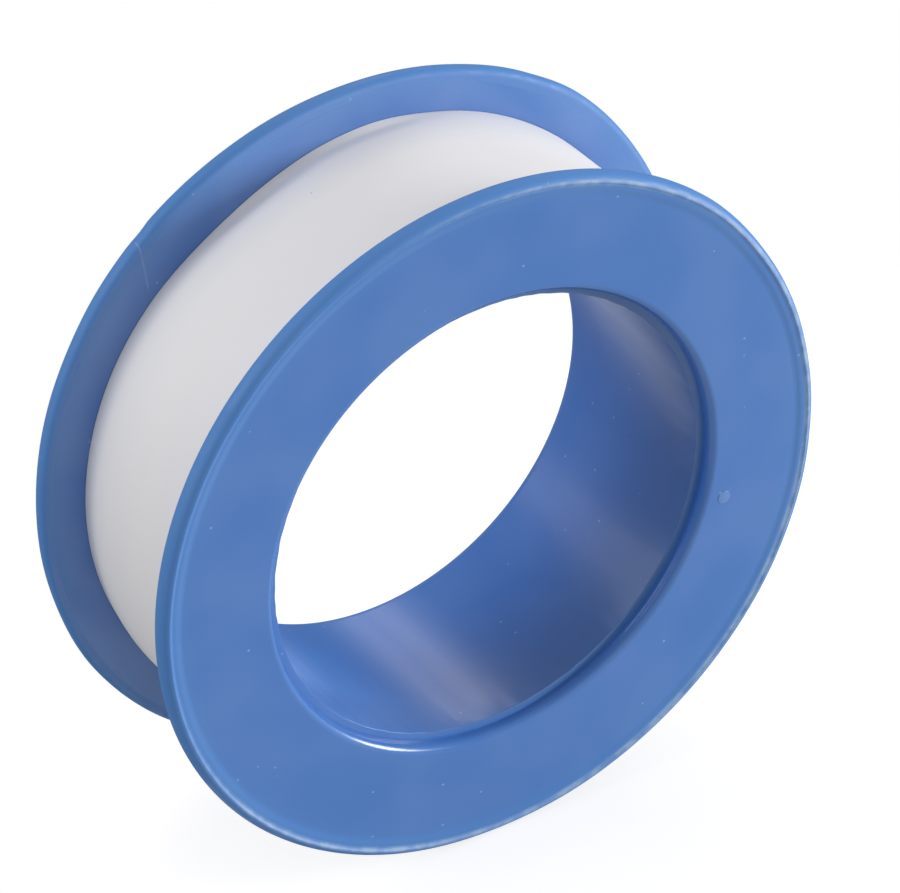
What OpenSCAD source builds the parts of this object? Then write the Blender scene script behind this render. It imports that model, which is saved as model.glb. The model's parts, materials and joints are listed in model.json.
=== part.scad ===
// Roll of thread seal tape on a two-part moulded spool.
// The spool stands on its rims: its axis runs along Y and the front flange faces -Y.
// The origin is the middle of the bore. Every ring is drawn round Z first and then turned.

/* [Flanges] */
// Outside diameter of both flanges
flange_d = 45; // [43:0.5:60]
// Thickness of the flat web of a flange
web_t = 1; // [0.7:0.05:1.4]
// Height of the raised rim over the outer face of the web
bead_h = 0.2; // [0.1:0.05:0.4]
// Width of the raised rim, from the edge of the flange to its inner foot
bead_w = 1.35; // [1:0.05:2]
// Width of the rim's crest, from the edge of the flange to the top of its slope
crest_w = 0.7; // [0.5:0.05:0.9]
// Rounding of the rim's outer corner
edge_r = 0.4; // [0.1:0.05:0.45]
// Rounding of the rim's corner on the tape's side
back_edge_r = 0.12; // [0.05:0.01:0.2]

/* [Hub] */
// Diameter of the bore through the hub
bore_d = 29.5; // [26:0.25:31]
// Rounding of the bore's rear mouth
mouth_r = 0.75; // [0.3:0.05:0.8]
// Rounding of the hole in the front flange
front_edge_r = 0.55; // [0.2:0.05:0.6]
// Wall of the hub's spigot, which the front flange is pressed over
spigot_wall = 0.8; // [0.6:0.05:1.2]
// Wall of the front flange's collar
collar_wall = 0.8; // [0.6:0.05:1.2]
// Depth of the spigot's end below the outer face of the front web
ledge_depth = 0.9; // [0.7:0.05:1.6]
// Width of the spigot's end that shows inside the hole in the front flange
ledge_step = 0.3; // [0.1:0.05:0.5]
// Length of the spigot inside the front flange and its collar
spigot_len = 4.25; // [2:0.25:6]
// Radial clearance between the spigot and the collar
spigot_clearance = 0.02; // [0.01:0.01:0.05]

/* [Tape] */
// Width of the tape
tape_w = 12.7; // [9:0.1:19]
// Thickness of the tape
tape_t = 0.1; // [0.07:0.01:0.2]
// Diameter over the wound tape, under the free end
wound_d = 39.2; // [35:0.2:42]
// Clearance between the tape's edge and each web
side_clearance = 0.15; // [0.1:0.05:0.5]
// Clearance between the tape and what it is wound over
lay_clearance = 0.04; // [0.02:0.01:0.1]

/* [Free end] */
// Length of the free end, along the roll
tail_len = 8; // [5:0.5:14]
// Clearance between the free end and the turn under it
tail_gap = 0.25; // [0.15:0.05:0.5]
// Gap between the start and the end of the outer turn, along the roll
seam_gap = 1.6; // [1:0.1:4]
// Clearance at the line where the free end lifts off
fold_gap = 0.05; // [0.03:0.01:0.1]
// Place of that line round the roll, from +X towards +Z
fold_angle = 40; // [20:1:45]

/* [Hidden] */
$fn = 180;
spool_blue = [0.35, 0.5, 0.75];
tape_white = [0.93, 0.93, 0.94];
// How far a cutting shape reaches past the faces that it cuts
cut_over = 0.5;
// Sides of the small circles that round the corners
corner_fn = 48;
// Angle between the points along the tape
turn_step = 5;

flange_r = flange_d / 2;
bore_r = bore_d / 2;
spigot_r = bore_r + spigot_wall;
drum_r = spigot_r + spigot_clearance + collar_wall;
front_hole_r = bore_r + ledge_step;
// Heights along the axis, before the turn: the front is up
web_in = tape_w / 2 + side_clearance;
web_out = web_in + web_t;
rim_out = web_out + bead_h;
ledge_z = web_out - ledge_depth;
collar_end = ledge_z - spigot_len;
// Round the roll: the outer turn starts under the free end and rises by one layer and the gap
wound_r = wound_d / 2;
core_r = wound_r - tape_t - lay_clearance;
turn_start_r = wound_r - tape_t;
arc_to_angle = 180 / (PI * wound_r);
turn_span = 360 - seam_gap * arc_to_angle;
rise = (tape_t + tail_gap) / 360;
fold_span = fold_gap * arc_to_angle;
tail_span = tail_len * arc_to_angle;

// Radius of the tape's inner face at angle s along the outer turn, and the place of that angle
function lay_r(s) = turn_start_r + rise * s;
function lay_phi(s) = fold_angle + turn_span - s;
function lay_point(s, lift) = (lay_r(s) + lift) * [cos(lay_phi(s)), sin(lay_phi(s))];
function lay_steps(s0, s1) =
    let (n = ceil((s1 - s0) / turn_step)) [for (i = [0:n]) s0 + (s1 - s0) * i / n];
function strip(s0, s1) =
    let (steps = lay_steps(s0, s1), last = len(steps) - 1)
    concat(
        [for (i = [0:last]) lay_point(steps[i], 0)],
        [for (i = [0:last]) lay_point(steps[last - i], tape_t)]
    );

// Least gap between two stretches of the tape, measured on points of their faces
function least_gap(a0, a1, b0, b1, step) =
    min([for (a = [a0:step:a1]) for (b = [b0:step:b1])
        norm(lay_point(a, tape_t) - lay_point(b, 0))]);
echo(outer_turn_least_gap_to_itself_mm = least_gap(0, 60, turn_span - 60, turn_span, 0.5));
echo(free_end_least_gap_to_the_turn_mm =
    least_gap(0, 40, turn_span + fold_span, turn_span + tail_span, 0.25));

// A ring's section as a rectangle, from radius r0 to r1 and height z0 to z1
module section(r0, r1, z0, z1) {
    translate([r0, z0]) square([r1 - r0, z1 - z0]);
}

// What rounding a corner takes off: the corner is at r, z and the material lies towards dr, dz
module corner(r, z, dr, dz, radius) {
    difference() {
        translate([r - (dr < 0 ? radius : cut_over), z - (dz < 0 ? radius : cut_over)])
            square(radius + cut_over);
        translate([r + dr * radius, z + dz * radius]) circle(radius, $fn = corner_fn);
    }
}

// Section of a flange with its raised rim, from a hole of inner_r out, with its outer face up
module flange_section(inner_r, hole_rounding) {
    difference() {
        union() {
            section(inner_r, flange_r, web_in, web_out);
            polygon([
                [flange_r - bead_w, web_out],
                [flange_r - bead_w, web_in],
                [flange_r, web_in],
                [flange_r, rim_out],
                [flange_r - crest_w, rim_out]
            ]);
        }
        corner(flange_r, rim_out, -1, -1, edge_r);
        corner(flange_r, web_in, -1, 1, back_edge_r);
        corner(inner_r, web_out, 1, -1, hole_rounding);
    }
}

// Turns a ring from the Z axis to the spool's axis, with its top at the front
module on_axis() {
    rotate([90, 0, 0]) children();
}

// Rear half of the spool: the flange, the hub tube and the spigot at its front end
module hub_and_rear_flange() {
    color(spool_blue) on_axis() rotate_extrude() {
        mirror([0, 1]) flange_section(bore_r, mouth_r);
        section(bore_r, drum_r, -web_out + mouth_r, collar_end);
        section(bore_r, spigot_r, collar_end, ledge_z);
    }
}

// Front half: the flange and its collar, pressed over the spigot, whose end shows in its hole
module front_flange() {
    color(spool_blue) on_axis() rotate_extrude() difference() {
        union() {
            flange_section(front_hole_r, front_edge_r);
            section(front_hole_r, drum_r, collar_end, web_out - front_edge_r);
        }
        section(front_hole_r - cut_over, spigot_r + spigot_clearance, collar_end - cut_over, ledge_z);
    }
}

// The wound tape under the outer turn, as one plain core
module tape_winding() {
    color(tape_white) on_axis() rotate_extrude()
        section(drum_r + lay_clearance, core_r, -tape_w / 2, tape_w / 2);
}

// The last whole turn of the tape, one unbroken strip that spirals out to the fold line
module tape_outer_turn() {
    color(tape_white) on_axis() linear_extrude(height = tape_w, center = true)
        polygon(strip(0, turn_span));
}

// The loose end of the tape past the fold line, lying over the start of the outer turn
module tape_free_end() {
    color(tape_white) on_axis() linear_extrude(height = tape_w, center = true)
        polygon(strip(turn_span + fold_span, turn_span + tail_span));
}

hub_and_rear_flange();
front_flange();
tape_winding();
tape_outer_turn();
tape_free_end();
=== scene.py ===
# Roll of thread seal tape on a two-part blue spool, standing on its rims.
import json
import math

import bmesh
import bpy
from mathutils import Matrix, Vector, noise


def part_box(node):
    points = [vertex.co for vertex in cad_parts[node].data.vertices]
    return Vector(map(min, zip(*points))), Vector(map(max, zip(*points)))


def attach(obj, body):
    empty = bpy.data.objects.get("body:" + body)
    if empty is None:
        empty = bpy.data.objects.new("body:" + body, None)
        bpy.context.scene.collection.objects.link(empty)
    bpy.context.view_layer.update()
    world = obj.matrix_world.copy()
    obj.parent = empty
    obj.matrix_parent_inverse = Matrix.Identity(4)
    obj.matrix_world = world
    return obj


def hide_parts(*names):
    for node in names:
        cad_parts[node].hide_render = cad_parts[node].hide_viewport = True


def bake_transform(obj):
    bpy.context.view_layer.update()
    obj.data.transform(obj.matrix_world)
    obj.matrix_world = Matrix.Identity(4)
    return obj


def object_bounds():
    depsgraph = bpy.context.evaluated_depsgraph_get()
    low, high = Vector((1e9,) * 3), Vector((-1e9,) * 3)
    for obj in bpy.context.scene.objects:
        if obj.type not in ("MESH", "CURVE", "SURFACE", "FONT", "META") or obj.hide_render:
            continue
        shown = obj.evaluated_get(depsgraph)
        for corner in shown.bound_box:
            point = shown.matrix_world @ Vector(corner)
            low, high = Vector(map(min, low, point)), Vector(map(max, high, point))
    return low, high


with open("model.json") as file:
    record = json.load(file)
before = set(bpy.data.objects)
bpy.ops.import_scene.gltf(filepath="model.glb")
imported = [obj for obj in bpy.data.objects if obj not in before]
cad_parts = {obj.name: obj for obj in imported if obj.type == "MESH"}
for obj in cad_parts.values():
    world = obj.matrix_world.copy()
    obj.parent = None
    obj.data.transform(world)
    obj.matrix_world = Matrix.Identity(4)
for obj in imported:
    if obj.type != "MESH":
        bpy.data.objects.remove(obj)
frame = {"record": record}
cad_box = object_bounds()

# Camera
# A long lens stands in front of the roll, to its left and above it, and looks at a place close
# to the middle of the spool.
mm = 0.001
view_azimuth = math.radians(-32.61)
view_elevation = math.radians(33.85)
view_distance = 288.5 * mm
aim = Vector((1.34, -0.18, 0.82)) * mm


def direction(azimuth, elevation):
    """Unit vector from the roll: azimuth 0 is in front of it and 90 degrees at its right."""
    level = math.cos(elevation)
    return Vector((math.sin(azimuth) * level, -math.cos(azimuth) * level, math.sin(elevation)))


camera = bpy.data.objects.new("camera", bpy.data.cameras.new("camera"))
bpy.context.scene.collection.objects.link(camera)
camera.data.lens = 195.64
camera.data.sensor_width = 36
camera.data.clip_start = 10 * mm
towards_camera = direction(view_azimuth, view_elevation)
camera.location = aim + towards_camera * view_distance
camera.rotation_mode = "QUATERNION"
camera.rotation_quaternion = towards_camera.to_track_quat("Z", "Y")
bpy.context.scene.camera = camera
bpy.context.scene.view_settings.view_transform = "Standard"


# Studio
# A round white table under the roll and a pale surround. The main lamp is low at the right and a
# little in front, wide ones stand at the left and in front, and a weak one fills in from above.
# Two panels behind the roll show as streaks in the bore.
class Signal:
    """One socket among a finish's nodes. A sum on it adds its Math node."""

    def __init__(self, finish, socket):
        self.finish = finish
        self.socket = socket

    def sum(self, operation, *values):
        return self.finish.add("Math", {"operation": operation}, dict(enumerate(values)))

    def __add__(self, other):
        return self.sum("ADD", self, other)

    def __radd__(self, other):
        return self.sum("ADD", other, self)

    def __rsub__(self, other):
        return self.sum("SUBTRACT", other, self)

    def __mul__(self, other):
        return self.sum("MULTIPLY", self, other)

    def __rmul__(self, other):
        return self.sum("MULTIPLY", other, self)

    def __abs__(self):
        return self.sum("ABSOLUTE", self)


class Finish:
    """The nodes of a material or of the surround."""

    def __init__(self, owner):
        self.owner = owner
        owner.use_nodes = True
        self.tree = owner.node_tree
        self.tree.nodes.clear()

    def add(self, kind, settings=None, sockets=None, output=0):
        """Adds a node, sets it, gives its sockets their values or links, and returns an output."""
        node = self.tree.nodes.new("ShaderNode" + kind)
        for name, value in (settings or {}).items():
            setattr(node, name, value)
        for name, value in (sockets or {}).items():
            if isinstance(value, Signal):
                self.tree.links.new(value.socket, node.inputs[name])
            else:
                node.inputs[name].default_value = value
        return Signal(self, node.outputs[output]) if node.outputs else None

    def mix(self, share, first, second):
        """A colour between two others, by a share from 0 to 1."""
        sockets = {"Factor": share, 6: first, 7: second}
        return self.add("Mix", {"data_type": "RGBA"}, sockets, output=2)

    def ease(self, value, low, high, start=0.0, end=1.0):
        """A soft step: start where value is low, end where it is high."""
        ends = {"Value": value, "From Min": low, "From Max": high, "To Min": start, "To Max": end}
        return self.add("MapRange", {"interpolation_type": "SMOOTHSTEP"}, ends)

    def noise(self, place, scale, detail=2.0, roughness=0.5):
        """Noise around 0.5, with its scale in features per metre."""
        return self.add("TexNoise", None, {
            "Vector": place, "Scale": scale, "Detail": detail, "Roughness": roughness,
        })

    def axis(self, place, index):
        """One coordinate of a place: 0 for x, 1 for y and 2 for z."""
        return self.add("SeparateXYZ", None, {"Vector": place}, index)

    def reach(self, place, way):
        """How far a place lies from the origin, measured along a direction."""
        return self.add("VectorMath", {"operation": "DOT_PRODUCT"}, {0: place, 1: way}, output=1)

    def stretched(self, place, stretch):
        """The place with each axis scaled."""
        return self.add("Mapping", None, {"Vector": place, "Scale": stretch})

    def flecks(self, place, spacing, size, share):
        """Small round spots: 1 in a spot, 0 around it. Share is how many of the cells hold one."""
        cells = {"Vector": place, "Scale": 1 / spacing}
        away = self.add("TexVoronoi", None, cells)
        pick = self.add("SeparateColor", None, {"Color": self.add("TexVoronoi", None, cells, 1)})
        inside = self.ease(away, 0.5 * size / spacing, 0.3 * size / spacing)
        return inside * pick.sum("LESS_THAN", pick, share)


white = (1.0, 1.0, 1.0, 1.0)
surround_light = 0.3
surround = Finish(bpy.data.worlds.new("surround"))
bpy.context.scene.world = surround.owner
seen = surround.add("LightPath")
backdrop = surround.add("Background", None, {
    "Color": white, "Strength": surround_light + seen * (1 - surround_light),
})
surround.add("OutputWorld", None, {"Surface": backdrop})

table_tone = (0.45, 0.45, 0.45, 1)
table_glow = 0.73
table_mirrored_glow = 0.5
table_radius = 66 * mm
table_middle = Vector((35 * mm, -30 * mm, cad_box[0].z))
table_mesh = bmesh.new()
bmesh.ops.create_circle(table_mesh, cap_ends=True, segments=96, radius=table_radius)
bmesh.ops.translate(table_mesh, vec=table_middle, verts=table_mesh.verts)
table = bpy.data.objects.new("table", bpy.data.meshes.new("table"))
table_mesh.to_mesh(table.data)
bpy.context.scene.collection.objects.link(table)
table_top = Finish(bpy.data.materials.new("table_top"))
seen = table_top.add("LightPath")
mirrored = table_top.add("LightPath", output=3)
paint = table_top.add("BsdfDiffuse", None, {"Color": table_tone})
glow = table_top.add("Emission", None, {
    "Color": white, "Strength": seen * table_glow + mirrored * table_mirrored_glow,
})
both = table_top.add("AddShader", None, {0: paint, 1: glow})
table_top.add("OutputMaterial", None, {"Surface": both})
table.data.materials.append(table_top.owner)


def lamp(name, azimuth, elevation, width, height, level, tint=(1, 1, 1)):
    """A soft lamp that faces the roll, with its place and size in degrees as the roll sees it.

    Level is the brightness that it gives to a white face turned to it.
    """
    distance = 900 * mm
    light = bpy.data.objects.new(name, bpy.data.lights.new(name, "AREA"))
    light.data.shape = "RECTANGLE"
    light.data.size = 2 * distance * math.tan(math.radians(width / 2))
    light.data.size_y = 2 * distance * math.tan(math.radians(height / 2))
    light.data.energy = level * math.pi**2 * distance**2
    light.data.color = tint
    away = direction(math.radians(azimuth), math.radians(elevation))
    light.location = away * distance
    light.rotation_mode = "QUATERNION"
    light.rotation_quaternion = away.to_track_quat("Z", "Y")
    bpy.context.scene.collection.objects.link(light)


lamp("lamp_right", azimuth=62, elevation=8, width=24, height=17, level=0.93)
lamp("lamp_left", azimuth=-106, elevation=30, width=44, height=34, level=0.43)
lamp("lamp_front", azimuth=-8, elevation=12, width=70, height=50, level=0.22)
lamp("lamp_above", azimuth=180, elevation=76, width=34, height=34, level=0.17)
lamp("panel_rear_right", 148, 33, width=20, height=22, level=0.12, tint=(1, 0.93, 0.95))
lamp("panel_rear_left", -139, 17, width=11, height=15, level=0.035, tint=(1, 0.95, 1))


# Rear half of the spool
# One moulding of blue polypropylene: the rear flange with its rounded rim, the hub tube that
# makes the bore, and the spigot at its front end, which is pressed into the front half.
rim_radius = cad_box[1].x
rim_depth = cad_box[1].y
rim_height = 0.2 * mm
web_outer = rim_depth - rim_height
web_inner = web_outer - 1.0 * mm
rim_foot = rim_radius - 1.26 * mm
rim_shelf = rim_radius - 0.93 * mm
rim_dip = rim_radius - 0.62 * mm
rim_crest = rim_radius - 0.51 * mm
rim_side = rim_radius - 0.45 * mm
rim_back_rounding = 0.45 * mm
bore_radius = frame["record"]["mounts"][0]["dims"]["r_mm"] * mm
rear_bore_radius = bore_radius + 0.1 * mm
spigot_radius = bore_radius + 0.8 * mm
press_clearance = 0.02 * mm
collar_wall = 0.8 * mm
collar_end = -2.35 * mm
drum_radius = spigot_radius + press_clearance + collar_wall
ledge_place = -web_outer + 0.9 * mm
ledge_radius = bore_radius - 0.22 * mm


def rim_section(side):
    """The rim's corners from its foot out: a low shelf, a narrow ridge and a rounded outer edge."""
    return [
        (rim_foot, side * web_outer, 0.16 * mm),
        (rim_shelf, side * (web_outer + 0.1 * mm), 0.15 * mm),
        (rim_dip, side * (web_outer + 0.11 * mm), 0.1 * mm),
        (rim_crest, side * rim_depth, 0.025 * mm),
        (rim_side, side * rim_depth, 0.025 * mm),
        (rim_radius - 0.25 * mm, side * (rim_depth - 0.08 * mm), 0.1 * mm),
        (rim_radius, side * (rim_depth - 0.36 * mm), 0.25 * mm),
    ]


def rounded_section(corners):
    """A flat section from (radius, depth, rounding) corners, each rounded as a moulder would."""
    mesh = bmesh.new()
    points = [mesh.verts.new((radius, depth, 0)) for radius, depth, _ in corners]
    mesh.faces.new(points)
    for point, (_, _, rounding) in zip(points, corners):
        if rounding:
            bmesh.ops.bevel(
                mesh, geom=[point], offset=rounding, offset_type="OFFSET", affect="VERTICES",
                segments=max(4, round(14 * rounding / mm)), profile=0.5, material=-1,
            )
    return mesh


def turned(mesh, steps=360, angle=math.tau, longest=2 * mm):
    """Turns a section round the spool's axis, into a whole ring or a part of one."""
    for edge in mesh.edges[:]:
        if edge.calc_length() > longest:
            cuts = math.floor(edge.calc_length() / longest)
            bmesh.ops.subdivide_edges(mesh, edges=[edge], cuts=cuts)
    bmesh.ops.delete(mesh, geom=mesh.faces[:], context="FACES_ONLY")
    whole = angle == math.tau
    bmesh.ops.spin(
        mesh, geom=mesh.verts[:] + mesh.edges[:], cent=(0, 0, 0), axis=(0, 1, 0), dvec=(0, 0, 0),
        angle=angle, steps=steps, use_merge=whole, use_normal_flip=False, use_duplicate=False,
    )
    ends = [edge for edge in mesh.edges if edge.is_boundary]
    if ends:
        bmesh.ops.holes_fill(mesh, edges=ends, sides=0)
    bmesh.ops.recalc_face_normals(mesh, faces=mesh.faces)


def from_axis(place):
    """The way from the spool's axis straight out to a place."""
    return Vector((place.x, 0, place.z))


def angle_of(place):
    """A place's angle round the spool, in degrees from +X towards +Z."""
    return math.degrees(math.atan2(place.z, place.x)) % 360


def waver(place, length, seed):
    """A slow random value from -1 to 1 that changes over the given length."""
    return noise.noise(place / length + Vector((seed, seed, seed)))


def fade(value, start, end):
    """A soft step from 0 at the start to 1 at the end."""
    share = min(1, max(0, (value - start) / (end - start)))
    return share * share * (3 - 2 * share)


def between(angle, places):
    """A value between those of the nearest two (angle, value) places, as the angle goes round."""
    closed = places + [(places[0][0] + 360, places[0][1])]
    for (start, low), (end, high) in zip(closed, closed[1:]):
        past = (angle - start) % 360
        if past <= end - start:
            return low + (high - low) * fade(past, 0, end - start)


def warped(mesh, side, bulge):
    """Bends a flange out of true, as it shrinks unevenly when it cools.

    Bulge lists how far the rim stands out, in mm, at angles round the spool. The rim's crest is
    wavy too.
    """
    wave_depth = 0.01 * mm
    wave_length = 1.6 * mm
    for vert in mesh.verts:
        outwards = from_axis(vert.co)
        radius = outwards.length
        depth = vert.co.y * side
        if depth < web_inner - 0.05 * mm or radius < drum_radius:
            continue
        if radius > rim_foot and depth > web_outer:
            share = min(1, (depth - web_outer) / rim_height)
            vert.co.y -= side * share * wave_depth * max(0, 1 + waver(vert.co, wave_length, 3))
        share = (radius - drum_radius) / (rim_radius - drum_radius)
        vert.co += outwards.normalized() * share * between(angle_of(vert.co), bulge) * mm


def made(name, mesh, finish):
    """A smooth piece from its mesh, with flat faces that stay flat beside their roundings."""
    sharp = math.radians(50)
    for face in mesh.faces:
        face.smooth = True
    for edge in mesh.edges:
        edge.smooth = not edge.is_manifold or edge.calc_face_angle() < sharp
    piece = bpy.data.objects.new(name, bpy.data.meshes.new(name))
    mesh.to_mesh(piece.data)
    mesh.free()
    bpy.context.scene.collection.objects.link(piece)
    piece.data.materials.append(finish)
    piece.modifiers.new("even_shading", "WEIGHTED_NORMAL").keep_sharp = True
    return piece


def polypropylene(name, blue, polish):
    """Blue polypropylene from a polished mould, with pale and dark flecks and drag marks in the bore.

    The rims' outer bands carry painted light, and their ridges a pale painted highlight that is
    faint at the upper left. The bore has painted light at its rear left and painted shade at its
    front right. The flanges' inner faces carry a thin painted haze of reflected light, and a pale
    scratch runs across the rear one from the dent in its rim.
    """
    pale = (0.3, 0.46, 0.72, 1)
    dark = (0.02, 0.05, 0.14, 1)
    # Painted light for the rims' outer bands
    painted_rim_light = (0.075, 0.24, 0.59, 1)
    # Painted highlight colour for the rims' ridges, also used for the real scratch
    highlight_and_scratch = (0.5, 0.64, 0.8, 1)
    # Painted shade and painted light for the bore
    painted_shade_blue = (0.07, 0.16, 0.38, 1)
    painted_light_blue = (0.045, 0.28, 0.84, 1)
    # Painted haze of reflected light on the flanges' inner faces
    painted_haze = (0.88, 0.86, 0.9, 1)
    # Direction along which the ridges' painted highlight grows from faint to full
    highlight_way = (0.87, 0, -0.5)
    scratch_way = (0.989, 0, 0.151)
    scratch_offset = 12.56 * mm
    finish = Finish(bpy.data.materials.new(name))
    place = finish.add("TexCoord", output=3)
    across = finish.add("VectorMath", {"operation": "MULTIPLY"}, {0: place, 1: (1, 0, 1)})
    radius = finish.add("VectorMath", {"operation": "LENGTH"}, {0: across}, output=1)
    rearwards = finish.axis(place, 1)
    depth = abs(rearwards)

    # Where on the part: each is 1 in its region and 0 outside it
    bore = finish.ease(radius, bore_radius + 0.25 * mm, bore_radius + 0.12 * mm)
    inside = finish.ease(depth, web_inner + 0.1 * mm, web_inner)
    inside = inside * (1 - finish.ease(radius, drum_radius + 0.2 * mm, drum_radius))
    edge = finish.ease(radius, rim_radius - 2.6 * mm, rim_radius)
    rim = finish.ease(radius, rim_dip - 0.2 * mm, rim_crest)
    ridge = rim * finish.ease(radius, rim_side + 0.2 * mm, rim_side + 0.05 * mm)
    ridge = ridge * finish.ease(depth, web_outer, web_outer + 0.12 * mm)
    slant = finish.reach(place, highlight_way)
    # The ridges' painted highlight is faint at the upper left
    ridge_highlight_side = finish.ease(slant, -0.85 * rim_radius, -0.2 * rim_radius, 0.05)
    right = finish.ease(finish.axis(place, 0), -8 * mm, 7 * mm)
    deep = finish.ease(rearwards, -6 * mm, 4 * mm)
    off_scratch = abs(finish.reach(place, scratch_way) + scratch_offset)
    scratch = finish.ease(off_scratch, 0.07 * mm, 0.02 * mm)
    scratch = scratch * finish.ease(finish.axis(place, 2), 13.4 * mm, 14 * mm)
    scratch = scratch * finish.ease(rearwards, 6 * mm, 6.3 * mm)
    scratch = scratch * finish.ease(rearwards, 7.1 * mm, 7 * mm)

    # What varies from place to place
    cloud = finish.ease(finish.noise(place, 120), 0.35, 0.65)
    scuff = finish.ease(finish.noise(place, 900, detail=3), 0.35, 0.65)
    drag = finish.noise(finish.stretched(place, (1, 0.05, 1)), 700, detail=4, roughness=0.6)
    drag = finish.ease(drag, 0.3, 0.7)
    grain = finish.noise(place, 3000, detail=3)
    pale_flecks = finish.flecks(place, spacing=1.3 * mm, size=0.2 * mm, share=0.4)
    dark_flecks = finish.flecks(place, spacing=2.3 * mm, size=0.13 * mm, share=0.4)

    colour = finish.mix(cloud * 0.1, (*blue, 1), pale)
    # The bore's painted light at its rear left and painted shade at its front right
    bore_light_and_shade = finish.mix(right, finish.mix(deep, colour, painted_light_blue), finish.mix(deep, painted_shade_blue, colour))
    # Laid on the tone: painted shade and light in the bore, painted light on the rims' outer bands, a
    # painted highlight on the ridges, a painted haze of reflected light on the inner faces, then real
    # flecks and a real scratch
    for share, layer in (
        (bore * 0.8, bore_light_and_shade),
        (edge * 0.75, painted_rim_light),
        (ridge * ridge_highlight_side * (0.2 + 0.36 * scuff), highlight_and_scratch),
        (inside * (0.05 + 0.02 * cloud), painted_haze),
        (0.6 * pale_flecks, pale),
        (0.22 * scratch, highlight_and_scratch),
        (0.7 * dark_flecks, dark),
    ):
        colour = finish.mix(share, colour, layer)
    rough = polish + bore * (0.07 + 0.06 * drag) + rim * (0.32 + 0.12 * scuff)
    rough = rough + 0.05 * finish.noise(place, 260)
    bump = finish.add("Bump", None, {
        "Strength": 0.1, "Distance": 0.02 * mm, "Height": 0.3 * grain + 0.3 * bore * drag,
    })
    surface = finish.add("BsdfPrincipled", None, {
        "Base Color": colour, "Roughness": rough, "Normal": bump, "IOR": 1.5,
    })
    finish.add("OutputMaterial", None, {"Surface": surface})
    return finish.owner


spool_blue = (0.057, 0.184, 0.53)
blue_satin = polypropylene("blue_satin", spool_blue, polish=0.19)
rear = rounded_section([
    (rear_bore_radius, web_outer, 0.75 * mm),
] + rim_section(1) + [
    (rim_radius, web_inner, rim_back_rounding),
    (drum_radius, web_inner, 0.1 * mm),
    (drum_radius, collar_end, 0),
    (spigot_radius, collar_end, 0),
    (spigot_radius, ledge_place, 0),
    (ledge_radius, ledge_place, 0.04 * mm),
])
turned(rear)
warped(rear, side=1, bulge=[
    (0, 0), (30, 0.15), (50, 0.26), (60, 0.12), (75, 0.02), (90, 0), (110, 0.07), (129, 0.13),
    (130.8, 0.05), (134, 0.1), (140, 0.1), (155, 0), (180, -0.13), (195, -0.13), (212, 0.02),
    (230, 0.1), (250, 0.05), (270, 0),
])
# The spigot's end isn't quite round
for vert in rear.verts:
    outwards = from_axis(vert.co)
    if vert.co.y < ledge_place + 0.1 * mm and outwards.length < ledge_radius + 0.1 * mm:
        vert.co += outwards.normalized() * 0.05 * mm * waver(vert.co, 0.8 * mm, 5)
rear_half = made("rear_half", rear, blue_satin)
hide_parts("hub_and_rear_flange")
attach(rear_half, "roll")

# Front half of the spool
# The other moulding: the front flange with its rounded rim and its hole, and the collar that is
# pressed over the spigot. The spigot's end shows in the hole as a narrow ledge.
hole_radius = bore_radius + 0.3 * mm
collar_inner = spigot_radius + press_clearance
front = rounded_section([
    (hole_radius, -web_outer, 0.55 * mm),
] + rim_section(-1) + [
    (rim_radius, -web_inner, rim_back_rounding),
    (drum_radius, -web_inner, 0.1 * mm),
    (drum_radius, collar_end, 0),
    (collar_inner, collar_end, 0),
    (collar_inner, ledge_place, 0),
    (hole_radius, ledge_place, 0),
])
turned(front)
warped(front, side=-1, bulge=[
    (0, 0), (15, -0.1), (33, -0.17), (50, -0.04), (90, 0), (180, 0), (225, 0.08), (250, 0.07),
    (270, 0), (290, 0.1), (330, 0.165), (345, 0.12),
])
front_half = made("front_half", front, blue_satin)
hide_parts("front_flange")
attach(front_half, "roll")

# Ejector mark
# The round print of a mould's ejector pin on the front flange: a disc that stands a few hundredths
# of a millimetre proud and is a little paler, because the pin was colder than the mould.
mark_place = Vector((16.12, 0, -4.03)) * mm
mark_radius = 0.4 * mm
mark_thickness = 0.2 * mm
mark_proud = 0.03 * mm
mark_middle = mark_thickness / 2 - mark_proud - web_outer
pale_satin = polypropylene("pale_satin", (0.115, 0.245, 0.56), polish=0.3)
mark = bmesh.new()
bmesh.ops.create_cone(
    mark, cap_ends=True, segments=64, radius1=mark_radius, radius2=mark_radius + 0.04 * mm,
    depth=mark_thickness, matrix=Matrix.Rotation(math.pi / 2, 4, "X"),
)
bmesh.ops.bevel(
    mark, geom=[edge for edge in mark.edges if edge.calc_length() < 0.1 * mm], offset=0.03 * mm,
    offset_type="OFFSET", affect="EDGES", segments=4, profile=0.5, material=-1,
)
bmesh.ops.translate(mark, vec=mark_place + Vector((0, mark_middle, 0)), verts=mark.verts)
bmesh.ops.recalc_face_normals(mark, faces=mark.faces)
ejector_mark = made("ejector_mark", mark, pale_satin)
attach(ejector_mark, "roll")

# Wound tape
# White unsintered tape, half an inch wide and a tenth of a millimetre thick, wound on the drum.
# The layers under the last turn give way where it sags, and show as fine ridges at their edges.
tape_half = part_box("tape_winding")[1].y
core_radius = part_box("tape_winding")[1].x
core_start = drum_radius + 0.04 * mm
tape_thickness = 0.1 * mm
wound_radius = 19.6 * mm
turn_radius = wound_radius - tape_thickness
turn_rise = (tape_thickness + 0.25 * mm) / 360
fold_angle = 40.0
turn_span = 360 - math.degrees(1.6 * mm / wound_radius)
tail_span = math.degrees(8 * mm / wound_radius)
loose_start = turn_span - 6.0


def bell(value, middle, width):
    """A smooth hump: 1 in the middle, near 0 past the width."""
    return math.exp(-(((value - middle) / width) ** 2))


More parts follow.
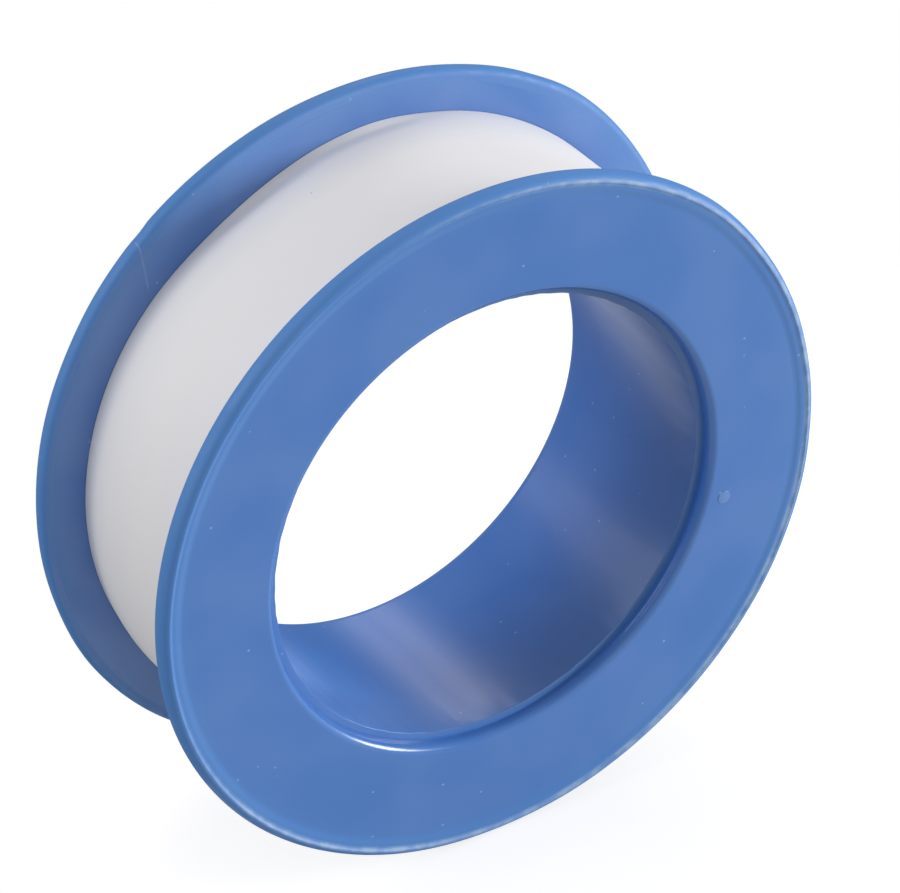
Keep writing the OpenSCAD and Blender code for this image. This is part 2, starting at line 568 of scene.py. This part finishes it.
def sag(place):
    """How far the tape at a place lies over its even spiral, or under it where it is negative.

    The angles are in degrees round the roll, and the other numbers in mm: how far in from the
    tape's rear edge, and how deep. At the left and the top the rear edge curls down, and at the
    top its outermost lip stands up again. Two faint creases lie at the top, nearer to the front.
    """
    angle = angle_of(place)
    rear = (tape_half - place.y) / mm
    drawn = from_axis(place).normalized() * turn_radius + place * 0.3
    top = fade(angle, 76, 92) * fade(angle, 130, 112)
    left = fade(angle, 98, 122) * fade(angle, 235, 200)
    curl = -0.26 * left * fade(rear, 1.9, 0) ** 1.5 - 0.12 * top * bell(rear, 0.55, 0.35)
    curl -= 0.5 * bell(angle, 114, 21) * fade(rear, 4.8, 0) ** 1.3
    upturn = 0.19 * top * fade(rear, 0.3, 0)
    crease = -0.03 * bell(rear, 8.6, 0.16) * bell(angle, 81, 4)
    crease -= 0.02 * bell(rear, 9.1, 0.12) * bell(angle, 78, 5)
    slack = 0.012 * waver(drawn, 5 * mm, 1) + 0.02 * waver(drawn, 12 * mm, 2)
    return (curl + upturn + crease + slack - 0.03 * fade(rear, 12.3, 12.7)) * mm


def along_turn(place, lowest=0.0):
    """How far round the last turn a place lies, in degrees from its start, counted from lowest."""
    return lowest + (fold_angle + turn_span - angle_of(place) - lowest) % 360


def seal_tape(name):
    """Soft white tape with fine lines along its length and a few grey specks."""
    tape_white = (0.86, 0.855, 0.87, 1)
    tape_shade = (0.82, 0.815, 0.835, 1)
    speck_grey = (0.35, 0.34, 0.36, 1)
    finish = Finish(bpy.data.materials.new(name))
    place = finish.add("TexCoord", output=3)
    specks = 0.6 * finish.flecks(place, spacing=3.2 * mm, size=0.18 * mm, share=0.4)
    soft = finish.ease(finish.noise(finish.stretched(place, (0.4, 1, 0.4)), 220), 0.35, 0.65)
    colour = finish.mix(soft * 0.3, tape_white, tape_shade)
    lines = finish.noise(finish.stretched(place, (0.04, 1, 0.04)), 2200, detail=3)
    rough = finish.ease(lines, 0.3, 0.7, 0.48, 0.58)
    bump = finish.add("Bump", None, {"Strength": 0.05, "Distance": 0.02 * mm, "Height": lines})
    surface = finish.add("BsdfPrincipled", None, {
        "Base Color": finish.mix(specks, colour, speck_grey), "Roughness": rough,
        "Normal": bump, "IOR": 1.36,
    })
    finish.add("OutputMaterial", None, {"Surface": surface})
    return finish.owner


white_tape = seal_tape("white_tape")
layers = math.floor((core_radius - core_start) / tape_thickness)
shoulder = 0.6 * mm
ridge_depth = 0.02 * mm
edge_places = []
for index in range(2 * layers):
    radius = core_start + index * tape_thickness / 2
    past = min(shoulder, max(0, radius - core_radius + shoulder))
    depth = tape_half - shoulder + math.sqrt(shoulder**2 - past**2) - (index % 2) * ridge_depth
    edge_places.append((radius, depth, 0))
edge_places.append((core_radius, tape_half - shoulder, 0))
core = rounded_section([(r, -y, 0) for r, y, _ in edge_places] + edge_places[::-1])
turned(core, steps=240, longest=0.4 * mm)
for vert in core.verts:
    outwards = from_axis(vert.co)
    under_turn = turn_radius + turn_rise * along_turn(vert.co) - 0.03 * mm
    under_turn += min(0, sag(vert.co))
    vert.co -= outwards.normalized() * max(0, outwards.length - under_turn)
wound_layers = made("wound_layers", core, white_tape)
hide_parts("tape_winding")
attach(wound_layers, "roll")

# Last turn of the tape
# The same strip in its last whole turn, which spirals out by its thickness and a little slack.
# Its rear edge curls down towards the flange at the left and stands up against it at the top. It
# ends just inside the start of the loose end, so that no gap shows between the two.


def strip(start, end, steps):
    """The tape from one angle along the last turn to another, laid on its spiral.

    From the upper right, over the top, to the lower left its rear edge is pushed over until it
    nearly touches the flange.
    """
    mesh = rounded_section([
        (turn_radius, -tape_half, 0.03 * mm),
        (turn_radius + tape_thickness, -tape_half, 0.04 * mm),
        (turn_radius + tape_thickness, tape_half, 0.04 * mm),
        (turn_radius, tape_half, 0.03 * mm),
    ])
    first = math.radians(fold_angle + turn_span - start)
    bmesh.ops.rotate(mesh, matrix=Matrix.Rotation(-first, 3, "Y"), verts=mesh.verts)
    turned(mesh, steps=steps, angle=math.radians(end - start), longest=0.25 * mm)
    for vert in mesh.verts:
        angle = angle_of(vert.co)
        lift = turn_rise * along_turn(vert.co, start - 1) + sag(vert.co)
        touching = fade(angle, 45, 65) * fade(angle, 235, 205) * fade(vert.co.y, 5 * mm, tape_half)
        outwards = from_axis(vert.co).normalized()
        vert.co += outwards * lift + Vector((0, 0.13 * mm * touching, 0))
    return mesh


turn = strip(0, loose_start + 1.2, steps=300)
tucked = 0.012 * mm
for vert in turn.verts:
    joined = fade(along_turn(vert.co), loose_start - 1, loose_start)
    vert.co -= from_axis(vert.co).normalized() * tucked * joined
last_turn = made("last_turn", turn, white_tape)
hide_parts("tape_outer_turn")
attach(last_turn, "roll")

# Loose end of the tape
# The end of the strip, which nothing holds down. It lies on the turn under it and is torn across,
# so its last stretch is drawn a little narrower.
tail_end = turn_span + tail_span
tail = strip(loose_start, tail_end, steps=60)
for vert in tail.verts:
    torn = fade(along_turn(vert.co, loose_start - 1), tail_end - 7, tail_end)
    vert.co.y *= 1 - 0.035 * torn
    ragged = torn * 0.25 * mm * waver(Vector((0, vert.co.y, 0)), 0.8 * mm, 7)
    vert.co += Vector((vert.co.z, 0, -vert.co.x)).normalized() * ragged
loose_end = made("loose_end", tail, white_tape)
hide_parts("tape_free_end")
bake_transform(loose_end)
